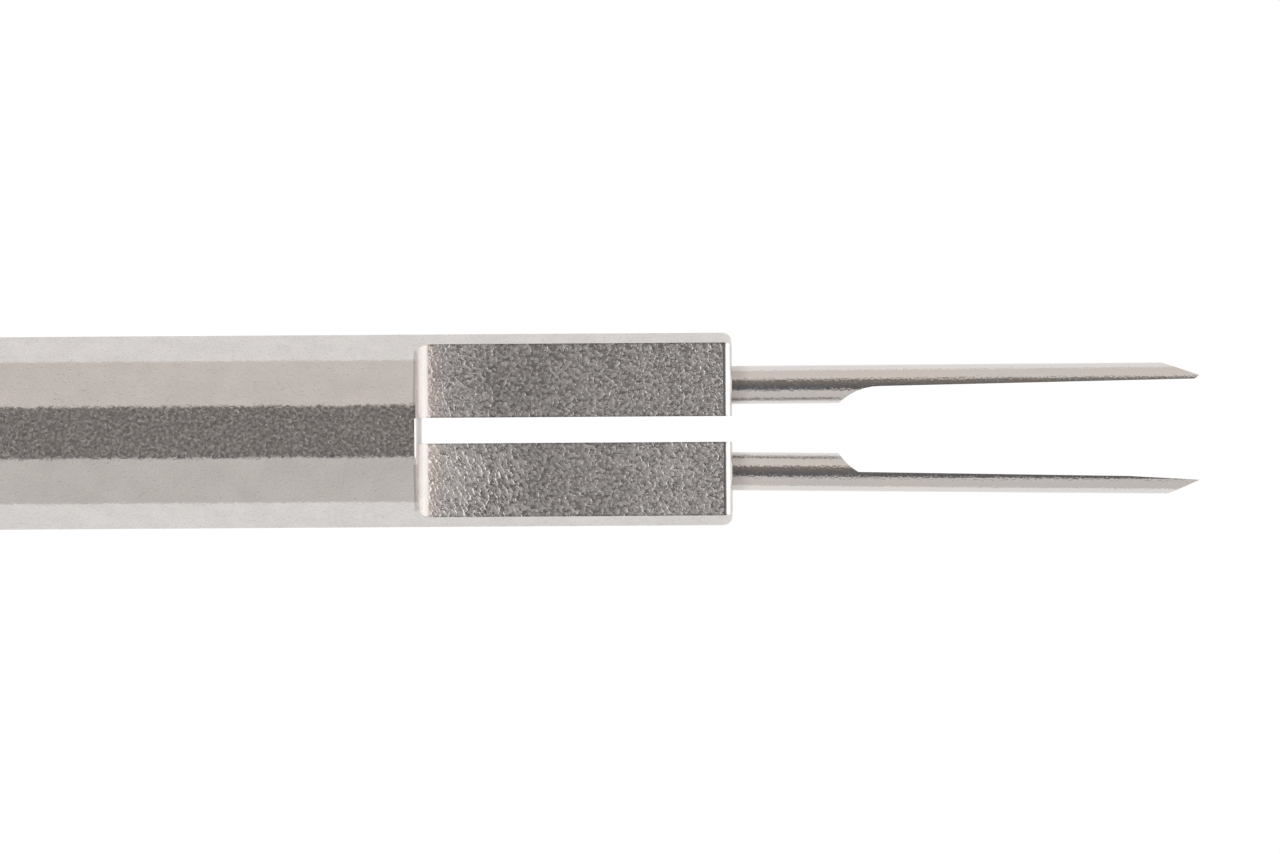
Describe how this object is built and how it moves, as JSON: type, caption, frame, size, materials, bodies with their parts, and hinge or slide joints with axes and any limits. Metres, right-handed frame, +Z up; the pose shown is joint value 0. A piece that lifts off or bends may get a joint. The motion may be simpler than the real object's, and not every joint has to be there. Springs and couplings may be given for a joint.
{
  "type": "spring bar tool",
  "caption": "Slim steel hand tool with a slotted head holding a pair of half-ground needles, and a push pin in a small screw chuck at the other end, for fitting watch spring bars.",
  "frame": {"origin": "bottom centre of the whole tool's box, on the surface it lies on", "axes": "+X along the tool towards the needle tips, +Y to the needle_left side, +Z up, square to the head's flats"},
  "size_m": [0.1328, 0.006, 0.006],
  "materials": {
    "bar_steel": "fine satin on the facets, milled grain on the head's flats",
    "needle_steel": "polished round, ground inner faces",
    "pin_steel": "polished",
    "collet_steel": "hardened, dark satin",
    "nut_steel": "turned satin with a straight knurl"
  },
  "bodies": {
    "handle": {"handle_bar": "bar_steel", "needle_left": "needle_steel", "needle_right": "needle_steel", "push_pin": "pin_steel"},
    "collet": {"collet": "collet_steel"},
    "nut": {"chuck_nut": "nut_steel"}
  },
  "joints": [
    {"name": "collet_slide", "type": "slide", "parent": "handle", "child": "collet", "axis": [-1, 0, 0], "range_m": [0, 0.0005]},
    {"name": "nut_turn", "type": "hinge", "parent": "collet", "child": "nut", "pos_m": [-0.05121, 0, 0.003], "axis": [-1, 0, 0], "range_deg": [0, 360]}
  ],
  "couplings": [
    {"joint": "nut_turn", "follows": "collet_slide", "rad_per_m": 12566}
  ]
}
